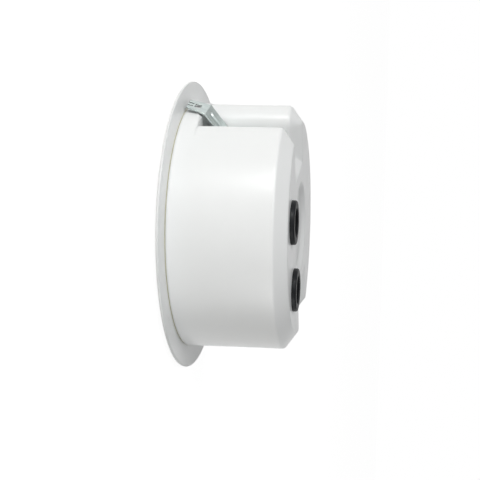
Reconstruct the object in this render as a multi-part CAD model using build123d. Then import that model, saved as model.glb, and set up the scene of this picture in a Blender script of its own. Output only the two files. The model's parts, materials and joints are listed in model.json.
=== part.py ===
from build123d import *
import os
from math import acos, atan2, cos, degrees, hypot, radians, sin, sqrt, tan

# In-ceiling loudspeaker, in millimetres.
# Z is the speaker's axis: the front of the bezel lies on z = 0 and faces down,
# and the can stands above it. The two ceiling clamps fold in the XZ plane, one
# on each side, and the cable entries are on the -Y half of the can's rear face.

# Bezel, grille and baffle
BEZEL_DIAMETER = 196.4
BEZEL_DEPTH = 5.0             # front plane to the face that meets the ceiling
BEZEL_RIM = 1.5               # height of the upright edge of the rim
BEZEL_RIM_ROUND = 0.9
BEZEL_LAND = 2.8              # flat ring round the grille
LEDGE_MARGIN = 2.1            # bezel ledge inside the can screws' heads
GRILLE_DIAMETER = 164.0
GRILLE_CLEARANCE = 0.2        # round the grille's edge
GRILLE_THICKNESS = 2.0
GRILLE_RECESS = 0.2           # grille face below the bezel's front land
GRILLE_RINGS = 10
GRILLE_SPOKES = 12
GRILLE_SPOKE_WIDTH = 2.2
GRILLE_SLOT_WIDTH = 3.0
GRILLE_HUB_RADIUS = 9.0
GRILLE_PITCH = 6.0
SCREEN_THICKNESS = 0.5
SCREEN_GAP = 0.5              # between the dust screen and the bezel's ledge
BAFFLE_THICKNESS = 3.0
BAFFLE_OPENING = 108.0
SPIGOT_HEIGHT = 8.0           # the baffle's rim that centres the can
SPIGOT_WALL = 2.4
SPIGOT_CLEARANCE = 0.4

# Back can
CAN_DIAMETER = 167.0          # at the collar
CAN_DEPTH = 73.4              # ceiling face to rear face
CAN_DRAFT = 0.75              # degrees
CAN_WALL = 2.5
REAR_WALL = 3.5
SHOULDER_DEPTH = 7.7          # bevel round the rear edge, along the axis
SHOULDER_INSET = 10.8         # and across it
SHOULDER_ROUND = 2.0
REAR_EDGE_ROUND = 1.2
GASKET_THICKNESS = 0.6
DISH_DIAMETER = 62.0
DISH_DEPTH = 3.0
DISH_TAPER = 4.0

# Clamp channels in the can
CHANNEL_WIDTH = 22.0          # where the bevel begins, narrower to the front by the draft
CHANNEL_FLOOR = 50.0          # from the speaker's axis
REAR_CORNER_ROUND = 1.5       # what the bevel leaves of the mouth's round at the rear face
MOUTH_STEP = 0.3              # mouth's round set in from the can's side
COLLAR_HEIGHT = 12.0          # plain band of the can below each channel
MOUTH_BEVEL = 2.5             # lead-in on the band's edge, under the clamp
CHANNEL_STEP = 68.0           # where the channel's front wall turns to a slope
CHANNEL_SLOPE_RISE = 16.0

# Clamps
SHEET = 1.0
CLAMP_WIDTH = 20.0
CLAMP_TIP_WIDTH = 14.5
BEND_INSET = 0.5              # bend inside the collar's surface, over its bevel
CLAMP_BEND_HEIGHT = 14.2      # bend above the ceiling face
CLAMP_TIP_HEIGHT = 1.4        # teeth above the ceiling face
CLAMP_TIP_REACH = 4.2         # teeth beyond the bend
TOOTH_SLOT_WIDTH = 2.2
TOOTH_SLOT_DEPTH = 3.6
WINDOW_WIDTH = 7.0
WINDOW_LENGTH = 4.0
RIB_WIDTH = 5.0
RIB_HEIGHT = 1.1
HINGE_HEIGHT = 36.5           # pin above the ceiling face
HINGE_STANDOFF = 5.0          # pin above the channel floor
PIN_DIAMETER = 3.1
PIN_RUNNING_CLEARANCE = 0.08
PIN_SEAT_CLEARANCE = 0.04
KNUCKLE_WIDTH = 5.6
SOCKET_DEPTH = 3.0            # pin's seat in each channel wall
SOCKET_CAP = 1.2
SOCKET_RADIUS = 4.2
PIN_END_GAP = 0.1
WIRE_DIAMETER = 1.0
COIL_CLEARANCE = 0.5          # between the pin and the spring's turns
COIL_END_GAP = 0.5            # between the turns and the knuckles
SPRING_ARM = 13.0
SPRING_SEAT_GAP = 0.05        # between the arm and the clamp

# Cable entries
GROMMET_SPACING = 48.0
GROMMET_OFFSET = 44.5         # from the speaker's axis
GROMMET_DIAMETER = 28.0
GROMMET_BORE = 18.4
GROMMET_PANEL_HOLE = 22.4
GROMMET_HEAD = 3.0
GROMMET_HEAD_ROUND = 0.9
GROMMET_FOOT = 2.4
GROMMET_FOOT_DIAMETER = 26.0

# Screws
CAN_SCREW_ANGLES = (60, 120, 240, 300)
CAN_SCREW_LENGTH = 18.0
BOSS_DIAMETER = 8.0
BOSS_HEIGHT = 20.0
BOSS_WEB = 2.5
BOSS_GAP = 0.7                # round the posts, to the baffle's rim and the driver
SCREW_DIAMETER = 3.0
SCREW_HEAD_DIAMETER = 6.0
SCREW_HEAD_HEIGHT = 1.6
SCREW_CLEARANCE = 0.2
SCREW_DRIVE_WIDTH = 1.0
SCREW_DRIVE_DEPTH = 0.8
DRIVER_SCREW_RADIUS = 62.0
DRIVER_SCREW_ANGLES = (45, 135, 225, 315)
DRIVER_SCREW_LENGTH = 5.0
SHORT_SCREW_LENGTH = 5.0

# Loudspeaker driver
DRIVER_GASKET = 0.6
DRIVER_FLANGE_DIAMETER = 132.0
BASKET_SHEET = 1.2
BASKET_MOUTH_DIAMETER = 113.0
BASKET_FLOOR_DIAMETER = 74.0
BASKET_DEPTH = 22.6
BASKET_WINDOWS = 6
BASKET_SPOKE_WIDTH = 9.0
SPIDER_LEDGE_INNER = 54.0     # diameter
SPIDER_LEDGE_WIDTH = 5.0
SPIDER_LEDGE_HEIGHT = 4.0
SPIDER_THICKNESS = 0.6
SPIDER_WAVES = 4
SPIDER_WAVE_HEIGHT = 0.9
SURROUND_LAND_DIAMETER = 114.0
SURROUND_ROLL_OUTER = 104.4
SURROUND_THICKNESS = 0.6
SURROUND_PLEATS = 2
SURROUND_PLEAT_HEIGHT = 2.0
MOVING_GAP = 0.3              # between the moving cone and what it is hung from
CONE_DIAMETER = 92.0
CONE_DEPTH = 13.0
CONE_PAPER = 0.8
WHIZZER_DIAMETER = 44.0
WHIZZER_DEPTH = 8.0
WHIZZER_PAPER = 0.6
POLE_DIAMETER = 19.2
COIL_GAP = 0.4                # pole to former
FORMER_WALL = 0.2
FORMER_LENGTH = 15.4
WINDING_THICKNESS = 0.7
WINDING_LENGTH = 6.4
WINDING_GAP = 0.6             # winding to top plate
TOP_PLATE_DIAMETER = 64.0
TOP_PLATE_THICKNESS = 4.0
MAGNET_DIAMETER = 72.0
MAGNET_BORE = 40.0
MAGNET_THICKNESS = 12.0
YOKE_DIAMETER = 66.0
YOKE_THICKNESS = 4.0
YOKE_VENT = 6.0
TAG_STRIP_LENGTH = 16.0
TAG_STRIP_WIDTH = 6.0
TAG_STRIP_THICKNESS = 1.5
TAG_WIDTH = 3.0
TAG_HEIGHT = 6.0
TAG_SHEET = 0.6

# Line transformer
TRANSFORMER_OFFSET = 56.0     # from the speaker's axis, on the +Y side
CORE_WIDTH = 35.0
CORE_HEIGHT = 29.0
CORE_STACK = 12.0
CORE_LEG = 6.0
BOBBIN_OVERHANG = 5.0
BOBBIN_FLANGE = 1.0
STRAP_SHEET = 1.0
STRAP_FOOT = 9.0
PAD_HEIGHT = 5.0              # moulded pads inside the can's rear wall
PAD_DIAMETER = 8.0

# Terminal block
BLOCK_LENGTH = 30.0
BLOCK_WIDTH = 12.0
BLOCK_HEIGHT = 13.0
BLOCK_OFFSET = -14.0          # along Y
BLOCK_POLES = 3
BLOCK_WIRE_HOLE = 4.0
BLOCK_SCREW_INSET = 3.5

# Heights and radii that follow from the sizes above
CEILING_Z = BEZEL_DEPTH
REAR_Z = CEILING_Z + CAN_DEPTH
REAR_INSIDE_Z = REAR_Z - REAR_WALL
CAN_BASE_Z = CEILING_Z + GASKET_THICKNESS
CAN_RADIUS = CAN_DIAMETER / 2
DRAFT_SLOPE = tan(radians(CAN_DRAFT))
SHOULDER_Z = REAR_Z - SHOULDER_DEPTH
SHOULDER_RADIUS = CAN_RADIUS - (SHOULDER_Z - CEILING_Z) * DRAFT_SLOPE
GRILLE_SEAT_Z = GRILLE_RECESS + GRILLE_THICKNESS
GRILLE_SEAT_RADIUS = GRILLE_DIAMETER / 2 + GRILLE_CLEARANCE
BAFFLE_Z = CEILING_Z + BAFFLE_THICKNESS
SPIGOT_RADIUS = CAN_RADIUS - CAN_WALL - SPIGOT_CLEARANCE
CAN_SCREW_RADIUS = SPIGOT_RADIUS - SPIGOT_WALL - BOSS_GAP - BOSS_DIAMETER / 2
LEDGE_RADIUS = CAN_SCREW_RADIUS - SCREW_HEAD_DIAMETER / 2 - SCREW_CLEARANCE - LEDGE_MARGIN
CHANNEL_Z = CEILING_Z + COLLAR_HEIGHT
CHANNEL_HALF = CHANNEL_WIDTH / 2
MOUTH_ROUND = SHOULDER_INSET + REAR_CORNER_ROUND
HINGE_X = CHANNEL_FLOOR + HINGE_STANDOFF
HINGE_Z = CEILING_Z + HINGE_HEIGHT
PIN_RADIUS = PIN_DIAMETER / 2
KNUCKLE_BORE = PIN_RADIUS + PIN_RUNNING_CLEARANCE
COLLAR_RADIUS = CAN_RADIUS - COLLAR_HEIGHT * DRAFT_SLOPE
BEND_X = COLLAR_RADIUS - BEND_INSET
BEND_Z = CEILING_Z + CLAMP_BEND_HEIGHT
TIP_Z = CEILING_Z + CLAMP_TIP_HEIGHT
SOCKET_Y = CHANNEL_HALF + SOCKET_DEPTH
DRIVER_Z = BAFFLE_Z + DRIVER_GASKET
BASKET_FLOOR_Z = DRIVER_Z + BASKET_DEPTH
SPIDER_Z = BASKET_FLOOR_Z - BASKET_SHEET - SPIDER_LEDGE_HEIGHT
FORMER_INNER = POLE_DIAMETER / 2 + COIL_GAP
FORMER_OUTER = FORMER_INNER + FORMER_WALL
WINDING_OUTER = FORMER_OUTER + WINDING_THICKNESS
TOP_PLATE_BORE = WINDING_OUTER + WINDING_GAP
MAGNET_Z = BASKET_FLOOR_Z + TOP_PLATE_THICKNESS
YOKE_Z = MAGNET_Z + MAGNET_THICKNESS
CONE_NECK_Z = DRIVER_Z + CONE_DEPTH
PAD_Z = REAR_INSIDE_Z - PAD_HEIGHT


def outline(*points):
    """Closed flat face through corner points."""
    return make_face(Polyline(*points, close=True))


def rectangle(left, bottom, right, top):
    return outline((left, bottom), (right, bottom), (right, top), (left, top))


def turned(profile):
    """Solid turned about the speaker's axis from a face drawn as (radius, height)."""
    return revolve(Plane.XZ * profile, Axis.Z)


def across(face, low_y, high_y):
    """Solid from a face drawn as (x, z), running from low_y to high_y."""
    return Pos(0, low_y, 0) * extrude(Plane.XZ * face, amount=low_y - high_y)


def upright(face, low_z, high_z):
    """Solid from a face drawn as (x, y), running from low_z to high_z."""
    return Pos(0, 0, low_z) * extrude(face, amount=high_z - low_z)


def rod(radius, low_z, high_z, x=0.0, y=0.0):
    return upright(Pos(x, y) * Circle(radius), low_z, high_z)


def ring(inner, outer, low_z, high_z):
    return turned(rectangle(inner, low_z, outer, high_z))


def on_circle(radius, angles):
    """Points at a pitch radius."""
    return [(radius * cos(radians(a)), radius * sin(radians(a))) for a in angles]


def rounded(face, corner, radius):
    """The face with the corner nearest to a point rounded."""
    nearest = face.vertices().sort_by_distance((*corner, 0))[0]
    return fillet(nearest, radius)


def pan_head_screw(x, y, head_z, length, way):
    """Cross-slotted screw whose head bears on head_z, its shank running up (1) or down (-1)."""
    head = Cylinder(SCREW_HEAD_DIAMETER / 2, SCREW_HEAD_HEIGHT)
    head = chamfer(head.edges().group_by(Axis.Z)[0], SCREW_HEAD_HEIGHT / 3)
    head = Pos(0, 0, -SCREW_HEAD_HEIGHT / 2) * head
    slot = Box(SCREW_HEAD_DIAMETER * 0.6, SCREW_DRIVE_WIDTH, SCREW_DRIVE_DEPTH * 2)
    slot += Rot(0, 0, 90) * slot
    shank = Pos(0, 0, length / 2) * Cylinder(SCREW_DIAMETER / 2, length)
    screw = head - Pos(0, 0, -SCREW_HEAD_HEIGHT) * slot + shank
    turn = Rot(0, 0, 0) if way > 0 else Rot(180, 0, 0)
    return Pos(x, y, head_z) * turn * screw


def group(solids):
    return Compound(children=list(solids))


# Front

def bezel():
    """Trim ring with a sloping face, a flat ceiling face and a ledge for grille and baffle."""
    rim = BEZEL_DIAMETER / 2
    land = GRILLE_SEAT_RADIUS + BEZEL_LAND
    rim_front = CEILING_Z - BEZEL_RIM
    face = outline(
        (GRILLE_SEAT_RADIUS, 0), (land, 0), (rim, rim_front), (rim, CEILING_Z),
        (LEDGE_RADIUS, CEILING_Z), (LEDGE_RADIUS, GRILLE_SEAT_Z), (GRILLE_SEAT_RADIUS, GRILLE_SEAT_Z),
    )
    face = rounded(face, (rim, rim_front), BEZEL_RIM_ROUND)
    face = chamfer(face.vertices().sort_by_distance((rim, CEILING_Z, 0))[0], BEZEL_RIM_ROUND / 3)
    part = turned(face)
    for x, y in on_circle(CAN_SCREW_RADIUS, CAN_SCREW_ANGLES):
        seat_z = GRILLE_SEAT_Z + SCREW_HEAD_HEIGHT
        part -= rod(SCREW_HEAD_DIAMETER / 2 + SCREW_CLEARANCE, GRILLE_SEAT_Z, seat_z, x, y)
        part -= rod(SCREW_DIAMETER / 2 + SCREW_CLEARANCE, seat_z, CEILING_Z, x, y)
    return part


def grille():
    """Round grille of ring-shaped slots between spokes."""
    reach = GRILLE_HUB_RADIUS + GRILLE_RINGS * GRILLE_PITCH
    slots = Sketch()
    for number in range(GRILLE_RINGS):
        inner = GRILLE_HUB_RADIUS + number * GRILLE_PITCH
        slots += Circle(inner + GRILLE_SLOT_WIDTH) - Circle(inner)
    for number in range(GRILLE_SPOKES // 2):
        slots -= Rot(0, 0, 360 / GRILLE_SPOKES * number) * Rectangle(reach * 2, GRILLE_SPOKE_WIDTH)
    return upright(Circle(GRILLE_DIAMETER / 2) - slots, GRILLE_RECESS, GRILLE_SEAT_Z)


def dust_screen():
    return rod(LEDGE_RADIUS - SCREEN_GAP, GRILLE_SEAT_Z, GRILLE_SEAT_Z + SCREEN_THICKNESS)


def baffle():
    """Plate that carries the driver, with a rim that centres the can."""
    face = outline(
        (BAFFLE_OPENING / 2, CEILING_Z), (SPIGOT_RADIUS, CEILING_Z),
        (SPIGOT_RADIUS, CEILING_Z + SPIGOT_HEIGHT), (SPIGOT_RADIUS - SPIGOT_WALL, CEILING_Z + SPIGOT_HEIGHT),
        (SPIGOT_RADIUS - SPIGOT_WALL, BAFFLE_Z), (BAFFLE_OPENING / 2, BAFFLE_Z),
    )
    part = turned(face)
    for x, y in on_circle(CAN_SCREW_RADIUS, CAN_SCREW_ANGLES):
        part -= rod(SCREW_DIAMETER / 2 + SCREW_CLEARANCE, CEILING_Z, BAFFLE_Z, x, y)
    pilot = SCREW_DIAMETER / 2 + PIN_SEAT_CLEARANCE
    depth = DRIVER_SCREW_LENGTH - BASKET_SHEET - DRIVER_GASKET
    for x, y in on_circle(DRIVER_SCREW_RADIUS, DRIVER_SCREW_ANGLES):
        part += rod(SCREW_HEAD_DIAMETER / 2, BAFFLE_Z - depth - SHEET, CEILING_Z, x, y)
        part -= rod(pilot, BAFFLE_Z - depth, BAFFLE_Z, x, y)
    return part


# Can

def channel_face(margin):
    """Section of a clamp channel as (x, z), grown by a margin on its walls."""
    beyond = BEZEL_DIAMETER
    bevel_drop = MOUTH_BEVEL + beyond - COLLAR_RADIUS
    face = outline(
        (beyond, CHANNEL_Z - bevel_drop), (COLLAR_RADIUS - MOUTH_BEVEL, CHANNEL_Z),
        (CHANNEL_STEP, CHANNEL_Z), (CHANNEL_FLOOR, CHANNEL_Z + CHANNEL_SLOPE_RISE),
        (CHANNEL_FLOOR, beyond), (beyond, beyond),
    )
    if margin:
        face = offset(face, margin, kind=Kind.INTERSECTION)
    return face


def channel_plan(growth):
    """Plan of the right channel as (x, y), grown into the can: straight walls with round mouth edges."""
    reach = SHOULDER_RADIUS - MOUTH_STEP - MOUTH_ROUND
    centre_y = CHANNEL_HALF + MOUTH_ROUND
    centre_x = sqrt(reach ** 2 - centre_y ** 2)
    turn = atan2(centre_y, centre_x)
    radius = MOUTH_ROUND - growth
    wall = CHANNEL_HALF + growth
    floor = CHANNEL_FLOOR - growth
    middle = (turn - radians(90)) / 2
    crown = (centre_x + radius * cos(middle), centre_y + radius * sin(middle))
    rim = (centre_x + radius * cos(turn), centre_y + radius * sin(turn))
    away = (rim[0] - CHANNEL_FLOOR / 2 * sin(turn), rim[1] + CHANNEL_FLOOR / 2 * cos(turn))
    upper = [
        Line((floor, 0), (floor, wall)), Line((floor, wall), (centre_x, wall)),
        ThreePointArc((centre_x, wall), crown, rim), Line(rim, away),
        Line(away, (BEZEL_DIAMETER, away[1])), Line((BEZEL_DIAMETER, away[1]), (BEZEL_DIAMETER, 0)),
    ]
    half = make_face(upper + [Line((BEZEL_DIAMETER, 0), (floor, 0))])
    return half + mirror(half, Plane.XZ)


def channels(margin, levels):
    """Both channels as solids to take away: drafted walls, then wider through (height, growth) levels."""
    draft = (levels[0][0] - CEILING_Z) * DRAFT_SLOPE
    levels = [(CEILING_Z, margin - draft)] + levels
    plans = [Pos(0, 0, height) * channel_plan(growth) for height, growth in levels]
    steps = [loft([low, high], ruled=True) for low, high in zip(plans, plans[1:])]
    right = across(channel_face(margin), -BEZEL_DIAMETER, BEZEL_DIAMETER) & steps[0]
    for step in steps[1:]:
        right += step
    return right + right.rotate(Axis.Z, 180)


def channels_outside():
    """The channels' walls, with the can's bevel running on along their rear edges."""
    lean = atan2(SHOULDER_INSET, SHOULDER_DEPTH)
    soft = SHOULDER_ROUND * tan(lean / 2)
    rise = REAR_CORNER_ROUND / 3
    levels = [
        (SHOULDER_Z - soft, 0), (SHOULDER_Z + soft * cos(lean), soft * sin(lean)),
        (REAR_Z + rise, SHOULDER_INSET + rise * tan(lean)),
    ]
    return channels(0, levels)


def channels_inside():
    """The channels grown by the can's wall."""
    widest = SHOULDER_INSET + REAR_CORNER_ROUND / 2
    levels = [(SHOULDER_Z - CAN_WALL / 2, CAN_WALL), (REAR_INSIDE_Z, widest), (REAR_Z, widest)]
    return channels(CAN_WALL, levels)


def can_outside():
    rear_radius = SHOULDER_RADIUS
    face_radius = rear_radius - SHOULDER_INSET
    dish = DISH_DIAMETER / 2
    face = outline(
        (0, CAN_BASE_Z), (CAN_RADIUS, CAN_BASE_Z), (rear_radius, SHOULDER_Z), (face_radius, REAR_Z),
        (dish, REAR_Z), (dish - DISH_TAPER, REAR_Z - DISH_DEPTH), (0, REAR_Z - DISH_DEPTH),
    )
    face = rounded(face, (rear_radius, SHOULDER_Z), SHOULDER_ROUND)
    face = rounded(face, (face_radius, REAR_Z), REAR_EDGE_ROUND)
    return turned(face)


def can_inside():
    base_radius = CAN_RADIUS - CAN_WALL
    rear_radius = SHOULDER_RADIUS - CAN_WALL
    face_radius = rear_radius - SHOULDER_INSET
    inner_shoulder_z = SHOULDER_Z - CAN_WALL / 2
    dish = DISH_DIAMETER / 2 + REAR_WALL / 2
    face = outline(
        (0, CAN_BASE_Z), (base_radius, CAN_BASE_Z), (rear_radius, inner_shoulder_z),
        (face_radius, REAR_INSIDE_Z), (dish, REAR_INSIDE_Z), (dish - DISH_TAPER, REAR_INSIDE_Z - DISH_DEPTH),
        (0, REAR_INSIDE_Z - DISH_DEPTH),
    )
    return turned(face)


def screw_boss(angle):
    """Post for a can screw with a web to the can's wall."""
    top = BAFFLE_Z + BOSS_HEIGHT
    post = rod(BOSS_DIAMETER / 2, BAFFLE_Z, top, CAN_SCREW_RADIUS)
    web_low = CEILING_Z + SPIGOT_HEIGHT + SPIGOT_CLEARANCE
    reach = CAN_RADIUS - CAN_WALL / 2 - BOSS_HEIGHT * DRAFT_SLOPE
    web = across(rectangle(CAN_SCREW_RADIUS, web_low, reach, top), -BOSS_WEB / 2, BOSS_WEB / 2)
    return (post + web).rotate(Axis.Z, angle)


def hinge_place():
    return Pos(HINGE_X, HINGE_Z)


def hinge_sockets():
    """Two bosses behind the right channel's walls that take the ends of the hinge pin."""
    boss = across(hinge_place() * Circle(SOCKET_RADIUS), CHANNEL_HALF + CAN_WALL / 2, SOCKET_Y + SOCKET_CAP)
    return boss + mirror(boss, Plane.XZ)


def hinge_bore():
    return across(hinge_place() * Circle(PIN_RADIUS + PIN_SEAT_CLEARANCE), -SOCKET_Y, SOCKET_Y)


def back_can():
    """Moulded can with two clamp channels let into it, a bevelled rear and cable entries."""
    part = can_outside() - channels_outside() - (can_inside() - channels_inside())
    for angle in CAN_SCREW_ANGLES:
        part += screw_boss(angle)
    for angle in (0, 180):
        part += hinge_sockets().rotate(Axis.Z, angle)
        part -= hinge_bore().rotate(Axis.Z, angle)
    for x, y in transformer_feet():
        part += rod(PAD_DIAMETER / 2, PAD_Z, REAR_INSIDE_Z + REAR_WALL / 2, x, y)
    pad = Pos(0, BLOCK_OFFSET) * Rectangle(BLOCK_LENGTH, BLOCK_WIDTH)
    part += upright(pad, PAD_Z, REAR_INSIDE_Z - DISH_DEPTH / 2)
    for x, y in grommet_places():
        part -= rod(GROMMET_PANEL_HOLE / 2, REAR_INSIDE_Z - 1, REAR_Z + 1, x, y)
    pilot = SCREW_DIAMETER / 2 + PIN_SEAT_CLEARANCE
    for x, y in on_circle(CAN_SCREW_RADIUS, CAN_SCREW_ANGLES):
        part -= rod(pilot, BAFFLE_Z, BAFFLE_Z + BOSS_HEIGHT - BOSS_WEB, x, y)
    for x, y in transformer_feet() + block_screw_places():
        part -= rod(pilot, PAD_Z, PAD_Z + SHORT_SCREW_LENGTH, x, y)
    return part


def can_gasket():
    return ring(CAN_RADIUS - CAN_WALL, CAN_RADIUS - GASKET_THICKNESS / 2, CEILING_Z, CAN_BASE_Z)


def grommet_places():
    return [(-GROMMET_SPACING / 2, -GROMMET_OFFSET), (GROMMET_SPACING / 2, -GROMMET_OFFSET)]


def grommet(place):
    """Rubber cable grommet gripping the rear wall."""
    bore = GROMMET_BORE / 2
    head = GROMMET_DIAMETER / 2
    foot = GROMMET_FOOT_DIAMETER / 2
    neck = GROMMET_PANEL_HOLE / 2
    top = REAR_Z + GROMMET_HEAD
    low = REAR_INSIDE_Z - GROMMET_FOOT
    soft = GROMMET_HEAD_ROUND
    face = outline(
        (bore, low), (foot - GROMMET_FOOT / 2, low), (foot, REAR_INSIDE_Z), (neck, REAR_INSIDE_Z),
        (neck, REAR_Z), (head, REAR_Z), (head, top - soft), (head - soft / 3, top - soft / 3),
        (head - soft, top), (bore + soft / 2, top), (bore, top - soft / 2),
    )
    return Pos(*place, 0) * turned(face)


# Clamps, modelled on the +X side and turned over for the other

def ramp_end():
    """Point where the clamp's ramp meets its knuckle, as (x, z)."""
    radius = KNUCKLE_BORE + SHEET / 2
    run = hypot(BEND_X - HINGE_X, BEND_Z - HINGE_Z)
    toward_bend = atan2(BEND_Z - HINGE_Z, BEND_X - HINGE_X)
    angle = toward_bend - acos(radius / run)
    return HINGE_X + radius * cos(angle), HINGE_Z + radius * sin(angle)


def strip(start, end, thickness):
    """Straight strip of sheet between two points of its middle line, as (x, z)."""
    length = hypot(end[0] - start[0], end[1] - start[1])
    angle = degrees(atan2(end[1] - start[1], end[0] - start[0]))
    middle = ((start[0] + end[0]) / 2, (start[1] + end[1]) / 2)
    return Pos(*middle) * Rot(0, 0, angle) * Rectangle(length, thickness)


def along_sheet(start, end, distance):
    """Plane on a strip's middle line, its x axis along the strip and its y axis across it."""
    length = hypot(end[0] - start[0], end[1] - start[1])
    run = ((end[0] - start[0]) / length, (end[1] - start[1]) / length)
    place = (start[0] + run[0] * distance, 0, start[1] + run[1] * distance)
    return Plane(origin=place, x_dir=(run[0], 0, run[1]), z_dir=(-run[1], 0, run[0]))


def clamp():
    """Stamped clamp: toothed front leg, ribbed ramp and two knuckles round the pin."""
    bend = (BEND_X, BEND_Z)
    tip = (BEND_X + CLAMP_TIP_REACH, TIP_Z)
    end = ramp_end()
    half = CLAMP_WIDTH / 2
    hinge = hinge_place()
    sheet = strip(bend, end, SHEET) + Pos(*bend) * Circle(SHEET / 2)
    knuckle = hinge * (Circle(KNUCKLE_BORE + SHEET) - Circle(KNUCKLE_BORE))
    part = across(sheet, -half, half) - across(hinge * Circle(KNUCKLE_BORE), -half, half)
    part += across(knuckle, half - KNUCKLE_WIDTH, half) + across(knuckle, -half, KNUCKLE_WIDTH - half)
    ramp = hypot(end[0] - bend[0], end[1] - bend[1])
    spring_room = half - KNUCKLE_WIDTH
    slot_depth = 2 * (KNUCKLE_BORE + SHEET + WIRE_DIAMETER)
    slot = Box(slot_depth * 2, spring_room * 2, CLAMP_WIDTH)
    part -= along_sheet(bend, end, ramp) * slot
    leg = hypot(tip[0] - bend[0], tip[1] - bend[1])
    tip_half = CLAMP_TIP_WIDTH / 2
    leg_face = outline((0, -tip_half), (leg, -half), (leg, half), (0, tip_half))
    part += along_sheet(tip, bend, 0) * extrude(leg_face, amount=SHEET / 2, both=True)
    window = Box(WINDOW_LENGTH, WINDOW_WIDTH, SHEET * 3)
    part -= along_sheet(tip, bend, leg / 2) * window
    tooth = Box(TOOTH_SLOT_DEPTH * 2, TOOTH_SLOT_WIDTH, SHEET * 3)
    for side in (-1, 1):
        part -= along_sheet(tip, bend, 0) * Pos(0, side * CLAMP_TIP_WIDTH / 6, 0) * tooth
    rib_length = ramp - slot_depth - RIB_WIDTH * 1.5
    rib_place = along_sheet(bend, end, RIB_WIDTH / 2 + rib_length / 2)
    return part + rib_place * pressed_rib(rib_length)


def pressed_rib(length):
    """Long low ridge standing on the sheet's outer face."""
    ridge = extrude(SlotOverall(length, RIB_WIDTH), amount=RIB_HEIGHT, taper=35)
    return Rot(180, 0, 0) * Pos(0, 0, SHEET / 2) * ridge


def hinge_pin():
    end = SOCKET_Y - PIN_END_GAP
    pin = across(hinge_place() * Circle(PIN_RADIUS), -end, end)
    return chamfer(pin.edges(), PIN_RADIUS / 5)


def coil_turns(inner, length):
    """Close-wound turns on an axis along Y: one sleeve with a groove between each two turns."""
    turns = round(length / WIRE_DIAMETER)
    pitch = length / turns
    groove = inner + WIRE_DIAMETER * 0.6
    crest = inner + WIRE_DIAMETER * 0.94
    points = [(inner, length / 2), (inner, -length / 2)]
    for number in range(turns):
        start = number * pitch - length / 2
        points += [(groove, start), (crest, start + pitch * 0.3), (crest, start + pitch * 0.7)]
    points.append((groove, length / 2))
    return Rot(90, 0, 0) * turned(outline(*points))


def torsion_spring():
    """Coil on the pin between the knuckles, with an arm that bears on the clamp's ramp."""
    wire = WIRE_DIAMETER / 2
    inner = PIN_RADIUS + COIL_CLEARANCE
    middle = inner + wire
    room = CLAMP_WIDTH / 2 - KNUCKLE_WIDTH - COIL_END_GAP
    end = ramp_end()
    ramp_angle = atan2(BEND_Z - end[1], BEND_X - end[0])
    bearing = KNUCKLE_BORE - wire - SPRING_SEAT_GAP
    lean = acos(-bearing / hypot(middle, SPRING_ARM)) - atan2(SPRING_ARM, middle)
    arm_angle = ramp_angle - lean
    run = (cos(arm_angle), sin(arm_angle))
    root = (-middle * run[1], middle * run[0])
    arm_plane = Plane(origin=(root[0], room - wire * 1.3, root[1]), z_dir=(run[0], 0, run[1]))
    arm = arm_plane * Pos(0, 0, SPRING_ARM / 2) * Cylinder(wire, SPRING_ARM)
    return Pos(HINGE_X, 0, HINGE_Z) * (coil_turns(inner, room * 2) + arm)


def placed_right(solid):
    return solid


def placed_left(solid):
    return solid.rotate(Axis.Z, 180)


# Driver

def basket():
    """Pressed steel chassis with windows in its side and a ledge for the spider."""
    flange = DRIVER_FLANGE_DIAMETER / 2
    mouth = BASKET_MOUTH_DIAMETER / 2
    floor = BASKET_FLOOR_DIAMETER / 2
    top = DRIVER_Z + BASKET_SHEET
    face = outline(
        (SURROUND_ROLL_OUTER / 2, DRIVER_Z), (flange, DRIVER_Z), (flange, top), (mouth, top),
        (floor, BASKET_FLOOR_Z), (TOP_PLATE_BORE, BASKET_FLOOR_Z),
        (TOP_PLATE_BORE, BASKET_FLOOR_Z - BASKET_SHEET),
        (floor - BASKET_SHEET, BASKET_FLOOR_Z - BASKET_SHEET),
        (mouth - BASKET_SHEET, top), (SURROUND_ROLL_OUTER / 2, top),
    )
    part = turned(face)
    ledge = SPIDER_LEDGE_INNER / 2
    part += ring(ledge, ledge + SPIDER_LEDGE_WIDTH, SPIDER_Z, BASKET_FLOOR_Z - BASKET_SHEET)
    window_low = top + BASKET_SHEET * 2
    window_high = BASKET_FLOOR_Z - BASKET_SHEET * 4
    side = ring(floor + BASKET_SHEET, flange, window_low, window_high)
    for number in range(BASKET_WINDOWS):
        spoke = Pos(flange / 2, 0) * Rectangle(flange, BASKET_SPOKE_WIDTH)
        side -= upright(Rot(0, 0, 360 / BASKET_WINDOWS * number) * spoke, window_low, window_high)
    part -= side
    for x, y in on_circle(DRIVER_SCREW_RADIUS, DRIVER_SCREW_ANGLES):
        part -= rod(SCREW_DIAMETER / 2 + SCREW_CLEARANCE, DRIVER_Z, top, x, y)
    for relief in post_reliefs(DRIVER_Z, top):
        part -= relief
    return part


def post_reliefs(low_z, high_z):
    """Room round the can's posts, for a driver flange wide enough to reach them."""
    places = on_circle(CAN_SCREW_RADIUS, CAN_SCREW_ANGLES)
    return [rod(BOSS_DIAMETER / 2 + BOSS_GAP, low_z, high_z, x, y) for x, y in places]


def driver_gasket():
    part = ring(SURROUND_LAND_DIAMETER / 2 + MOVING_GAP, DRIVER_FLANGE_DIAMETER / 2, BAFFLE_Z, DRIVER_Z)
    for x, y in on_circle(DRIVER_SCREW_RADIUS, DRIVER_SCREW_ANGLES):
        part -= rod(SCREW_DIAMETER / 2 + SCREW_CLEARANCE, BAFFLE_Z, DRIVER_Z, x, y)
    for relief in post_reliefs(BAFFLE_Z, DRIVER_Z):
        part -= relief
    return part


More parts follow.
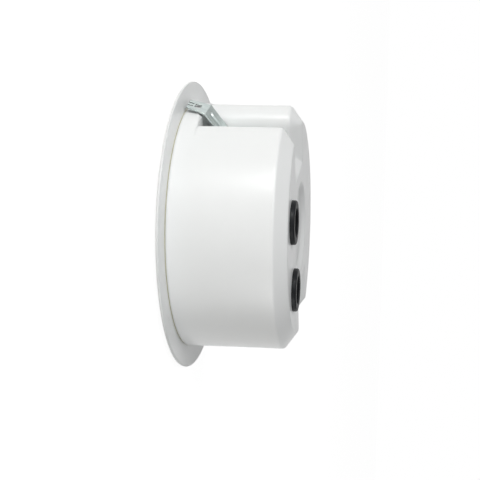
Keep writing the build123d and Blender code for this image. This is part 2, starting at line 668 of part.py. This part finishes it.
def surround():
    """Pleated cloth edge between the cone and the chassis."""
    inner = CONE_DIAMETER / 2 + MOVING_GAP
    step = (SURROUND_ROLL_OUTER / 2 - inner) / (SURROUND_PLEATS * 2)
    low, high = [], []
    for number in range(SURROUND_PLEATS * 2 + 1):
        drop = SURROUND_PLEAT_HEIGHT * (number % 2)
        low.append((inner + number * step, DRIVER_Z - SURROUND_THICKNESS - drop))
        high.append((inner + number * step, DRIVER_Z - drop))
    land = SURROUND_LAND_DIAMETER / 2
    land_points = [(land, DRIVER_Z - SURROUND_THICKNESS), (land, DRIVER_Z)]
    return turned(outline(*low, *land_points, *reversed(high)))


def cone():
    edge = CONE_DIAMETER / 2
    face = outline(
        (FORMER_OUTER, CONE_NECK_Z), (FORMER_OUTER, CONE_NECK_Z - CONE_PAPER * 2),
        (edge, DRIVER_Z - CONE_PAPER), (edge, DRIVER_Z),
    )
    return turned(face)


def whizzer_cone():
    neck_z = CONE_NECK_Z - FORMER_WALL * 2
    front = neck_z - WHIZZER_DEPTH
    edge = WHIZZER_DIAMETER / 2
    low_z = CONE_NECK_Z - CONE_PAPER * 2 - WHIZZER_PAPER
    face = outline(
        (FORMER_OUTER, low_z), (FORMER_OUTER, low_z - WHIZZER_PAPER * 2), (edge, front - WHIZZER_PAPER),
        (edge, front),
    )
    return turned(face)


def coil_former():
    low = CONE_NECK_Z - CONE_PAPER * 2 - WHIZZER_PAPER * 3
    return ring(FORMER_INNER, FORMER_OUTER, low, low + FORMER_LENGTH + WHIZZER_PAPER * 3)


def coil_winding():
    middle = BASKET_FLOOR_Z + TOP_PLATE_THICKNESS / 2
    return ring(FORMER_OUTER, WINDING_OUTER, middle - WINDING_LENGTH / 2, middle + WINDING_LENGTH / 2)


def dust_cap():
    """Shallow dome closing the former's mouth."""
    low = CONE_NECK_Z - CONE_PAPER * 2 - WHIZZER_PAPER * 3
    radius = FORMER_INNER
    rise = radius / 3
    outer = [(radius * sin(radians(a)), low - rise * cos(radians(a))) for a in (0, 30, 60, 90)]
    return turned(outline(*outer, (radius, low + CONE_PAPER), (0, low - rise + CONE_PAPER)))


def spider():
    """Corrugated disc that centres the voice coil."""
    inner = FORMER_OUTER + MOVING_GAP
    outer = SPIDER_LEDGE_INNER / 2
    step = (outer - inner) / (SPIDER_WAVES * 2)
    low, high = [], []
    for number in range(SPIDER_WAVES * 2 + 1):
        drop = SPIDER_WAVE_HEIGHT * (number % 2)
        low.append((inner + number * step, SPIDER_Z - SPIDER_THICKNESS - drop))
        high.append((inner + number * step, SPIDER_Z - drop))
    rim = outer + SPIDER_LEDGE_WIDTH
    rim_points = [(rim, SPIDER_Z - SPIDER_THICKNESS), (rim, SPIDER_Z)]
    return turned(outline(*low, *rim_points, *reversed(high)))


def top_plate():
    return ring(TOP_PLATE_BORE, TOP_PLATE_DIAMETER / 2, BASKET_FLOOR_Z, MAGNET_Z)


def magnet():
    return ring(MAGNET_BORE / 2, MAGNET_DIAMETER / 2, MAGNET_Z, YOKE_Z)


def yoke():
    """Back plate and vented pole in one forging."""
    top = YOKE_Z + YOKE_THICKNESS
    pole = POLE_DIAMETER / 2
    vent = YOKE_VENT / 2
    rim = YOKE_DIAMETER / 2
    face = outline(
        (vent, BASKET_FLOOR_Z), (pole, BASKET_FLOOR_Z), (pole, YOKE_Z), (rim, YOKE_Z),
        (rim, top - SHEET), (rim - SHEET, top), (vent, top),
    )
    return turned(face)


def tag_strip():
    """Insulating strip with two solder tags on the chassis flange."""
    low = DRIVER_Z + BASKET_SHEET
    place = Pos(0, -DRIVER_SCREW_RADIUS)
    part = upright(place * Rectangle(TAG_STRIP_LENGTH, TAG_STRIP_WIDTH), low, low + TAG_STRIP_THICKNESS)
    for side in (-1, 1):
        tag = Pos(side * TAG_STRIP_LENGTH / 4, 0) * place * Rectangle(TAG_WIDTH, TAG_SHEET)
        part += upright(tag, low, low + TAG_HEIGHT)
    return part


# Line transformer, hung from the can's rear wall

def transformer_feet():
    reach = CORE_WIDTH / 2 + STRAP_SHEET + STRAP_FOOT / 2
    return [(-reach, TRANSFORMER_OFFSET), (reach, TRANSFORMER_OFFSET)]


def transformer_core():
    """Stack of E and I laminations with two windows for the winding."""
    half = CORE_WIDTH / 2
    high = PAD_Z
    low = high - CORE_HEIGHT
    face = rectangle(-half, low, half, high)
    for side in (-1, 1):
        inner = CORE_LEG
        outer = half - CORE_LEG
        face -= rectangle(min(side * inner, side * outer), low + CORE_LEG,
                          max(side * inner, side * outer), high - CORE_LEG)
    return across(face, TRANSFORMER_OFFSET - CORE_STACK / 2, TRANSFORMER_OFFSET + CORE_STACK / 2)


def transformer_coil():
    """Winding on a bobbin round the core's middle leg."""
    reach = CORE_WIDTH / 2 - CORE_LEG
    depth = CORE_STACK / 2 + BOBBIN_OVERHANG
    low = PAD_Z - CORE_HEIGHT + CORE_LEG
    high = PAD_Z - CORE_LEG
    outer = Pos(0, TRANSFORMER_OFFSET) * RectangleRounded(reach * 2, depth * 2, BOBBIN_OVERHANG / 2)
    wound = Pos(0, TRANSFORMER_OFFSET) * RectangleRounded(
        (reach - BOBBIN_FLANGE) * 2, (depth - BOBBIN_FLANGE) * 2, BOBBIN_OVERHANG / 2)
    leg = Pos(0, TRANSFORMER_OFFSET) * Rectangle(CORE_LEG * 2, CORE_STACK)
    part = upright(wound - leg, low, high)
    part += upright(outer - leg, low, low + BOBBIN_FLANGE)
    part += upright(outer - leg, high - BOBBIN_FLANGE, high)
    return part


def transformer_strap():
    """Bent strap round the core with a foot on each side."""
    inner = CORE_WIDTH / 2
    outer = inner + STRAP_SHEET
    foot = outer + STRAP_FOOT
    low = PAD_Z - CORE_HEIGHT
    face = outline(
        (-foot, PAD_Z), (-inner, PAD_Z), (-inner, low), (inner, low), (inner, PAD_Z), (foot, PAD_Z),
        (foot, PAD_Z - STRAP_SHEET), (outer, PAD_Z - STRAP_SHEET), (outer, low - STRAP_SHEET),
        (-outer, low - STRAP_SHEET), (-outer, PAD_Z - STRAP_SHEET), (-foot, PAD_Z - STRAP_SHEET),
    )
    part = across(face, TRANSFORMER_OFFSET - CORE_STACK / 2, TRANSFORMER_OFFSET + CORE_STACK / 2)
    for x, y in transformer_feet():
        part -= rod(SCREW_DIAMETER / 2 + SCREW_CLEARANCE, PAD_Z - STRAP_SHEET, PAD_Z, x, y)
    return part


# Terminal block

def block_screw_places():
    reach = BLOCK_LENGTH / 2 - BLOCK_SCREW_INSET
    return [(-reach, BLOCK_OFFSET), (reach, BLOCK_OFFSET)]


def block_poles():
    pitch = (BLOCK_LENGTH - 4 * BLOCK_SCREW_INSET) / BLOCK_POLES
    return [(number - (BLOCK_POLES - 1) / 2) * pitch for number in range(BLOCK_POLES)]


def terminal_block():
    """Moulded block with a wire hole through each pole and a screw over it."""
    low = PAD_Z - BLOCK_HEIGHT
    half_y = BLOCK_WIDTH / 2
    part = upright(Pos(0, BLOCK_OFFSET) * Rectangle(BLOCK_LENGTH, BLOCK_WIDTH), low, PAD_Z)
    ear = BLOCK_SCREW_INSET * 2
    for x, y in block_screw_places():
        part -= upright(Pos(x, y) * Rectangle(ear, BLOCK_WIDTH), low, PAD_Z - STRAP_SHEET * 3)
        part -= rod(SCREW_DIAMETER / 2 + SCREW_CLEARANCE, PAD_Z - STRAP_SHEET * 3, PAD_Z, x, y)
    middle = (low + PAD_Z) / 2
    for x in block_poles():
        hole = Pos(x, middle) * Circle(BLOCK_WIRE_HOLE / 2)
        part -= across(hole, BLOCK_OFFSET - half_y, BLOCK_OFFSET + half_y)
        part -= rod(SCREW_DIAMETER / 2 + SCREW_CLEARANCE, low, middle, x, BLOCK_OFFSET)
    return part


def terminal_screws():
    low = PAD_Z - BLOCK_HEIGHT
    middle = (low + PAD_Z) / 2
    top = middle - BLOCK_WIRE_HOLE / 2
    return group(rod(SCREW_DIAMETER / 2, low + SHEET, top, x, BLOCK_OFFSET) for x in block_poles())


def can_screws():
    seat_z = GRILLE_SEAT_Z + SCREW_HEAD_HEIGHT
    places = on_circle(CAN_SCREW_RADIUS, CAN_SCREW_ANGLES)
    return group(pan_head_screw(x, y, seat_z, CAN_SCREW_LENGTH, 1) for x, y in places)


def driver_screws():
    places = on_circle(DRIVER_SCREW_RADIUS, DRIVER_SCREW_ANGLES)
    seat_z = DRIVER_Z + BASKET_SHEET
    return group(pan_head_screw(x, y, seat_z, DRIVER_SCREW_LENGTH, -1) for x, y in places)


def transformer_screws():
    seat_z = PAD_Z - STRAP_SHEET
    return group(pan_head_screw(x, y, seat_z, SHORT_SCREW_LENGTH, 1) for x, y in transformer_feet())


def block_screws():
    seat_z = PAD_Z - STRAP_SHEET * 3
    return group(pan_head_screw(x, y, seat_z, SHORT_SCREW_LENGTH, 1) for x, y in block_screw_places())


def main():
    left_grommet, right_grommet = grommet_places()
    nodes = {
        "bezel": bezel(),
        "grille": grille(),
        "dust_screen": dust_screen(),
        "baffle": baffle(),
        "can_gasket": can_gasket(),
        "back_can": back_can(),
        "can_screws": can_screws(),
        "clamp_left": placed_left(clamp()),
        "clamp_right": placed_right(clamp()),
        "hinge_pin_left": placed_left(hinge_pin()),
        "hinge_pin_right": placed_right(hinge_pin()),
        "torsion_spring_left": placed_left(torsion_spring()),
        "torsion_spring_right": placed_right(torsion_spring()),
        "grommet_left": grommet(left_grommet),
        "grommet_right": grommet(right_grommet),
        "driver_basket": basket(),
        "driver_gasket": driver_gasket(),
        "driver_screws": driver_screws(),
        "surround": surround(),
        "cone": cone(),
        "whizzer_cone": whizzer_cone(),
        "dust_cap": dust_cap(),
        "coil_former": coil_former(),
        "coil_winding": coil_winding(),
        "spider": spider(),
        "top_plate": top_plate(),
        "magnet": magnet(),
        "yoke": yoke(),
        "tag_strip": tag_strip(),
        "transformer_core": transformer_core(),
        "transformer_coil": transformer_coil(),
        "transformer_strap": transformer_strap(),
        "transformer_screws": transformer_screws(),
        "terminal_block": terminal_block(),
        "terminal_screws": terminal_screws(),
        "block_screws": block_screws(),
    }
    os.makedirs("parts", exist_ok=True)
    for name, solid in nodes.items():
        export_step(solid, f"parts/{name}.step")


main()
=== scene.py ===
import json
import math

import bpy
from mathutils import Matrix, Vector


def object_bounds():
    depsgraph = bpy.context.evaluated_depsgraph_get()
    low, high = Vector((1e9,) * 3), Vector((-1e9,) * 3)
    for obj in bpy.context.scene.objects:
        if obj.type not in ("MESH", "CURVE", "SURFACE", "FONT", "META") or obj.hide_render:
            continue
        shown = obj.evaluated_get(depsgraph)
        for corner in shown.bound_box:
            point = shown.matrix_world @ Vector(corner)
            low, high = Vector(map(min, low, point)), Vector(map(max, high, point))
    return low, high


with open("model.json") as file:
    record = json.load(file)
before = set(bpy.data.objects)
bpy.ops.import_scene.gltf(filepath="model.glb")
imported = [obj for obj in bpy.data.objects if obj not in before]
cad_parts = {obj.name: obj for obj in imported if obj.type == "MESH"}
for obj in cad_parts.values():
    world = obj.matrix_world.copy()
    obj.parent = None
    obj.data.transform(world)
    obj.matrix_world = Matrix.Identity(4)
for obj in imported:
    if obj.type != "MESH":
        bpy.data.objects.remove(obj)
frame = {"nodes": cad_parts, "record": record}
cad_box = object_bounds()
nodes = frame["nodes"]

# A noise factor mostly lies between these two
NOISE_LOW, NOISE_HIGH = 0.3, 0.7
# Bands of a Wave texture of scale one, over two pi units
WAVE_BANDS = 20.0


class Shader:
    """A Principled material with a few node helpers. Coordinates are metres in the object's frame."""

    def __init__(self, name):
        self.material = bpy.data.materials.new(name)
        self.material.use_nodes = True
        self.tree = self.material.node_tree
        self.surface = self.tree.nodes["Principled BSDF"]
        self.place = self.tree.nodes.new("ShaderNodeTexCoord").outputs["Object"]

    def add(self, kind, **settings):
        node = self.tree.nodes.new(kind)
        for key, value in settings.items():
            setattr(node, key, value)
        return node

    def link(self, output, target):
        self.tree.links.new(output, target)

    def put(self, **values):
        """Sets plain values on the surface's sockets, named with underscores for spaces."""
        for key, value in values.items():
            self.surface.inputs[key.replace("_", " ")].default_value = value

    def stretched(self, x, y, z):
        """Coordinates scaled differently on each axis."""
        node = self.add("ShaderNodeMapping")
        node.inputs["Scale"].default_value = (x, y, z)
        self.link(self.place, node.inputs["Vector"])
        return node.outputs["Vector"]

    def noise(self, scale, detail=2.0, roughness=0.5, place=None):
        node = self.add("ShaderNodeTexNoise")
        node.inputs["Scale"].default_value = scale
        node.inputs["Detail"].default_value = detail
        node.inputs["Roughness"].default_value = roughness
        self.link(place or self.place, node.inputs["Vector"])
        return node.outputs["Fac"]

    def bands(self, direction, pitch, distortion=0.0, profile="SIN"):
        """Bands across one axis, repeating at a pitch in metres."""
        node = self.add("ShaderNodeTexWave", bands_direction=direction, wave_profile=profile)
        node.inputs["Scale"].default_value = 2.0 * math.pi / pitch / WAVE_BANDS
        node.inputs["Distortion"].default_value = distortion
        self.link(self.place, node.inputs["Vector"])
        return node.outputs["Fac"]

    def tint(self, factor, low, high, start=NOISE_LOW, end=NOISE_HIGH):
        """Base colour running from low to high with a factor."""
        node = self.add("ShaderNodeValToRGB")
        ends = node.color_ramp.elements
        ends[0].position, ends[1].position = start, end
        ends[0].color, ends[1].color = (*low, 1.0), (*high, 1.0)
        self.link(factor, node.inputs["Fac"])
        self.link(node.outputs["Color"], self.surface.inputs["Base Color"])

    def paint_crease_shade(self, colour, reach):
        """Paints shade into the base colour: darker where surfaces close in on each other, as in creases
        and hollows.
        """
        open_sky = self.add("ShaderNodeAmbientOcclusion", samples=8)
        open_sky.inputs["Distance"].default_value = reach
        blend = self.add("ShaderNodeMix", data_type="RGBA")
        shade_end, clear = [socket for socket in blend.inputs if socket.type == "RGBA"]
        mixed = [socket for socket in blend.outputs if socket.type == "RGBA"][0]
        base = self.surface.inputs["Base Color"]
        shade_end.default_value = (*colour, 1.0)
        self.link(open_sky.outputs["AO"], blend.inputs["Factor"])
        self.link(base.links[0].from_socket, clear)
        self.link(mixed, base)

    def vary(self, socket, factor, low, high):
        """A surface value running from low to high with a factor."""
        node = self.add("ShaderNodeMapRange")
        node.inputs["From Min"].default_value = NOISE_LOW
        node.inputs["From Max"].default_value = NOISE_HIGH
        node.inputs["To Min"].default_value = low
        node.inputs["To Max"].default_value = high
        self.link(factor, node.inputs["Value"])
        self.link(node.outputs["Result"], self.surface.inputs[socket])

    def bump(self, height, strength, distance, edge=0.0):
        """Relief from a height, with edges softened to a radius if one is given."""
        node = self.add("ShaderNodeBump")
        node.inputs["Strength"].default_value = strength
        node.inputs["Distance"].default_value = distance
        self.link(height, node.inputs["Height"])
        if edge:
            soft = self.add("ShaderNodeBevel", samples=8)
            soft.inputs["Radius"].default_value = edge
            self.link(soft.outputs["Normal"], node.inputs["Normal"])
        self.link(node.outputs["Normal"], self.surface.inputs["Normal"])


def moulded_plastic(name, low, high, gloss, grain=1400.0, relief=0.05, edge=0.0005):
    """Moulded plastic: faint cloudiness, uneven gloss and a fine skin."""
    shader = Shader(name)
    shader.tint(shader.noise(22.0, 3.0), low, high)
    shader.vary("Roughness", shader.noise(90.0, 3.0), gloss - 0.03, gloss + 0.04)
    shader.bump(shader.noise(grain, 2.0), relief, 0.00006, edge)
    return shader.material


def plated_steel(name, low, high, gloss, along, edge=0.0003):
    """Rolled and plated sheet: fine drawing lines, cloudy plating, uneven gloss and painted shade in
    creases.
    """
    shader = Shader(name)
    lines = shader.noise(1.0, 4.0, 0.6, shader.stretched(*along))
    shader.tint(shader.noise(180.0, 4.0, 0.6), low, high)
    shader.vary("Roughness", lines, gloss - 0.07, gloss + 0.09)
    shader.bump(lines, 0.12, 0.00004, edge)
    # Painted shade: creases and hollows darken toward a tenth of the low colour.
    shader.paint_crease_shade(tuple(value * 0.1 for value in low), 0.004)
    shader.put(Metallic=1.0)
    return shader.material


def rubber(name, low, high, gloss, edge=0.0005):
    """Moulded rubber with a slightly bloomed skin."""
    shader = Shader(name)
    shader.tint(shader.noise(150.0, 4.0, 0.65), low, high)
    shader.vary("Roughness", shader.noise(400.0, 3.0), gloss - 0.06, gloss + 0.08)
    shader.bump(shader.noise(1800.0, 2.0), 0.15, 0.00008, edge)
    shader.put(Specular_IOR_Level=0.22)
    return shader.material


def cloth(name, low, high, pitch, gloss=0.85):
    """Woven cloth: crossed threads at a pitch in metres."""
    shader = Shader(name)
    weave = shader.add("ShaderNodeMath", operation="MULTIPLY")
    for socket, direction in zip(weave.inputs, "XY"):
        shader.link(shader.bands(direction, pitch, 0.4), socket)
    shader.tint(weave.outputs["Value"], low, high, 0.1, 0.8)
    shader.bump(weave.outputs["Value"], 0.5, pitch / 4)
    shader.put(Roughness=gloss)
    return shader.material


def pulp(name, low, high, gloss=0.8):
    """Pressed paper or card: fibres and soft blotches."""
    shader = Shader(name)
    fibre = shader.noise(1.0, 5.0, 0.7, shader.stretched(900.0, 500.0, 700.0))
    shader.tint(fibre, low, high)
    shader.vary("Roughness", shader.noise(120.0, 3.0), gloss - 0.08, gloss + 0.08)
    shader.bump(fibre, 0.3, 0.00015)
    return shader.material


def wound_wire(name, low, high, pitch):
    """Fine wire wound in layers along Z."""
    shader = Shader(name)
    turns = shader.bands("Z", pitch, 0.2)
    shader.tint(turns, low, high, 0.0, 1.0)
    shader.bump(turns, 0.6, pitch / 3)
    shader.put(Metallic=0.9, Roughness=0.32)
    return shader.material


def laminations(name, low, high, pitch):
    """Stacked steel sheets, seen as lines across Y."""
    shader = Shader(name)
    sheets = shader.bands("Y", pitch, profile="SAW")
    shader.tint(sheets, low, high, 0.0, 0.6)
    shader.bump(sheets, 0.4, pitch / 4)
    shader.put(Metallic=0.8, Roughness=0.45)
    return shader.material


WHITE_LOW, WHITE_HIGH = (0.836, 0.849, 0.846), (0.860, 0.873, 0.870)
finishes = {
    "white_plastic": moulded_plastic("white_plastic", WHITE_LOW, WHITE_HIGH, 0.31, edge=0.002),
    "baffle_plastic": moulded_plastic("baffle_plastic", (0.045, 0.045, 0.047), (0.06, 0.06, 0.062), 0.5),
    "screen_cloth": cloth("screen_cloth", (0.008, 0.008, 0.009), (0.035, 0.035, 0.037), 0.0008),
    "gasket_foam": rubber("gasket_foam", (0.50, 0.49, 0.36), (0.60, 0.58, 0.44), 0.8),
    "grommet_rubber": rubber("grommet_rubber", (0.004, 0.005, 0.006), (0.008, 0.010, 0.012), 0.45),
    "clamp_zinc": plated_steel(
        "clamp_zinc", (0.54, 0.61, 0.60), (0.70, 0.76, 0.74), 0.42, (60.0, 900.0, 60.0),
    ),
    "pin_steel": plated_steel(
        "pin_steel", (0.52, 0.53, 0.54), (0.64, 0.65, 0.66), 0.25, (900.0, 60.0, 900.0),
    ),
    "spring_steel": plated_steel(
        "spring_steel", (0.42, 0.43, 0.44), (0.55, 0.56, 0.57), 0.3, (500.0, 500.0, 500.0),
    ),
    "screw_steel": plated_steel(
        "screw_steel", (0.55, 0.56, 0.56), (0.66, 0.67, 0.66), 0.3, (700.0, 700.0, 300.0),
    ),
    "basket_paint": moulded_plastic("basket_paint", (0.018, 0.018, 0.019), (0.03, 0.03, 0.031), 0.38),
    "driver_card": pulp("driver_card", (0.20, 0.14, 0.08), (0.34, 0.25, 0.16)),
    "surround_cloth": cloth("surround_cloth", (0.015, 0.015, 0.016), (0.05, 0.05, 0.052), 0.0007),
    "cone_paper": pulp("cone_paper", (0.03, 0.03, 0.031), (0.07, 0.07, 0.072)),
    "former_film": moulded_plastic("former_film", (0.42, 0.20, 0.04), (0.55, 0.28, 0.07), 0.3),
    "copper_wire": wound_wire("copper_wire", (0.38, 0.15, 0.07), (0.78, 0.40, 0.22), 0.0003),
    "spider_cloth": cloth("spider_cloth", (0.36, 0.22, 0.06), (0.60, 0.42, 0.16), 0.0009),
    "magnet_steel": plated_steel(
        "magnet_steel", (0.54, 0.53, 0.48), (0.66, 0.65, 0.61), 0.36, (400.0, 400.0, 80.0),
    ),
    "ferrite": rubber("ferrite", (0.05, 0.05, 0.052), (0.10, 0.10, 0.10), 0.55),
    "tag_board": pulp("tag_board", (0.22, 0.11, 0.05), (0.34, 0.19, 0.09)),
    "core_steel": laminations("core_steel", (0.10, 0.10, 0.105), (0.30, 0.30, 0.31), 0.0005),
    "winding_tape": moulded_plastic("winding_tape", (0.58, 0.46, 0.07), (0.70, 0.58, 0.12), 0.35),
    "strap_steel": plated_steel(
        "strap_steel", (0.54, 0.54, 0.52), (0.66, 0.66, 0.64), 0.33, (80.0, 800.0, 80.0),
    ),
    "block_plastic": moulded_plastic("block_plastic", (0.70, 0.68, 0.60), (0.78, 0.76, 0.69), 0.4),
}
for piece in frame["record"]["subparts"]:
    for holder in nodes[piece["node"]].material_slots:
        holder.material = finishes[piece["material_slot"]]


# Studio: a pale floor that keeps a soft shadow, and a white surround

PART_RADIUS = cad_box[1][0]
PART_MIDDLE = (0.0, 0.0, cad_box[1][2] / 2.0)
FLOOR_OPENING = 0.855 * PART_RADIUS
FLOOR_RADIUS = 12.0
FLOOR_STEPS = 96
FLOOR_DROP = 0.0001
# Rise of a ray at which the surround, as seen, stops being white and at which it is grey
HORIZON_END, OVERHEAD_START = 0.16, 0.42
HORIZON_WHITE, OVERHEAD_GREY = 1.0, 0.40


def camera_light(tree):
    """One for rays that should see the white background, zero for rays that light the object."""
    path = tree.nodes.new("ShaderNodeLightPath")
    total = path.outputs["Is Camera Ray"]
    for name in ("Is Glossy Ray", "Is Transmission Ray"):
        either = tree.nodes.new("ShaderNodeMath")
        either.operation = "MAXIMUM"
        tree.links.new(total, either.inputs[0])
        tree.links.new(path.outputs[name], either.inputs[1])
        total = either.outputs["Value"]
    return total


def floor_material():
    """Matt ground as a reflector of light, and near white with a soft shadow as it is seen."""
    material = bpy.data.materials.new("studio_floor")
    material.use_nodes = True
    tree = material.node_tree
    tree.nodes.remove(tree.nodes["Principled BSDF"])
    matt = tree.nodes.new("ShaderNodeBsdfDiffuse")
    matt.inputs["Color"].default_value = (0.69, 0.68, 0.65, 1.0)
    shade = tree.nodes.new("ShaderNodeBsdfDiffuse")
    shade.inputs["Color"].default_value = (0.45, 0.45, 0.45, 1.0)
    glow = tree.nodes.new("ShaderNodeEmission")
    glow.inputs["Strength"].default_value = 0.86
    seen = tree.nodes.new("ShaderNodeAddShader")
    tree.links.new(shade.outputs[0], seen.inputs[0])
    tree.links.new(glow.outputs[0], seen.inputs[1])
    choice = tree.nodes.new("ShaderNodeMixShader")
    tree.links.new(camera_light(tree), choice.inputs["Fac"])
    tree.links.new(matt.outputs[0], choice.inputs[1])
    tree.links.new(seen.outputs[0], choice.inputs[2])
    tree.links.new(choice.outputs[0], tree.nodes["Material Output"].inputs["Surface"])
    return material


def floor():
    """Ground as a wide ring, open under the part so that its front shows from below."""
    corners, faces = [], []
    for number in range(FLOOR_STEPS):
        turn = 2.0 * math.pi * number / FLOOR_STEPS
        for radius in (FLOOR_OPENING, FLOOR_RADIUS):
            corners.append((radius * math.cos(turn), radius * math.sin(turn), 0.0))
        here, there = 2 * number, 2 * ((number + 1) % FLOOR_STEPS)
        faces.append((here, here + 1, there + 1, there))
    mesh = bpy.data.meshes.new("studio_floor")
    mesh.from_pydata(corners, [], faces)
    mesh.materials.append(floor_material())
    ground = bpy.data.objects.new("studio_floor", mesh)
    ground.location.z = -FLOOR_DROP
    bpy.context.scene.collection.objects.link(ground)


def surround_light(bright, dim):
    """Light from all round, falling off toward +X; as seen, white at the horizon and greyer overhead."""
    world = bpy.data.worlds.new("studio")
    world.use_nodes = True
    bpy.context.scene.world = world
    tree = world.node_tree
    background = tree.nodes["Background"]
    background.inputs["Color"].default_value = (1.0, 1.0, 1.0, 1.0)
    direction = tree.nodes.new("ShaderNodeTexCoord")
    axes = tree.nodes.new("ShaderNodeSeparateXYZ")
    tree.links.new(direction.outputs["Generated"], axes.inputs["Vector"])

    def graded(axis, start, end, first, last):
        node = tree.nodes.new("ShaderNodeMapRange")
        for name, value in (("From Min", start), ("From Max", end), ("To Min", first), ("To Max", last)):
            node.inputs[name].default_value = value
        tree.links.new(axes.outputs[axis], node.inputs["Value"])
        return node.outputs["Result"]

    strength = tree.nodes.new("ShaderNodeMapRange")
    tree.links.new(camera_light(tree), strength.inputs["Value"])
    tree.links.new(graded("X", -1.0, 1.0, bright, dim), strength.inputs["To Min"])
    seen = graded("Z", HORIZON_END, OVERHEAD_START, HORIZON_WHITE, OVERHEAD_GREY)
    tree.links.new(seen, strength.inputs["To Max"])
    tree.links.new(strength.outputs["Result"], background.inputs["Strength"])


def softbox(name, place, width, height, watts):
    """A rectangular lamp that points at the middle of the part."""
    data = bpy.data.lights.new(name, "AREA")
    data.shape = "RECTANGLE"
    data.size = width
    data.size_y = height
    data.energy = watts
    lamp = bpy.data.objects.new(name, data)
    lamp.location = place
    aim = Vector(PART_MIDDLE) - Vector(place)
    lamp.rotation_euler = aim.to_track_quat("-Z", "Y").to_euler()
    bpy.context.scene.collection.objects.link(lamp)


def camera():
    """The photo's view, with the part's axis across the picture."""
    data = bpy.data.cameras.new("photo_view")
    data.sensor_fit = "HORIZONTAL"
    data.angle = math.radians(30.85)
    data.clip_start = 0.01
    eye = bpy.data.objects.new("photo_view", data)
    right = Vector((0.0482, 0.1689, 0.9845)).normalized()
    back = Vector((-0.4318, -0.8852, 0.1730)).normalized()
    up = back.cross(right).normalized()
    right = up.cross(back)
    place = Vector((-0.2507, -0.5363, 0.1408))
    eye.matrix_world = Matrix((
        (right.x, up.x, back.x, place.x),
        (right.y, up.y, back.y, place.y),
        (right.z, up.z, back.z, place.z),
        (0.0, 0.0, 0.0, 1.0),
    ))
    bpy.context.scene.collection.objects.link(eye)
    bpy.context.scene.camera = eye


floor()
surround_light(0.38, 0.20)
softbox("key", (-1.18, -0.575, 0.10), 0.22, 0.14, 6.1)
softbox("high", (-0.93, -0.455, 0.85), 0.5, 0.5, 5.2)
softbox("fill", (0.80, -1.10, 0.12), 0.6, 0.20, 3.6)
softbox("under", (-0.30, -0.50, -0.90), 0.6, 0.6, 7.0)
camera()

bpy.context.scene.view_settings.view_transform = "Standard"
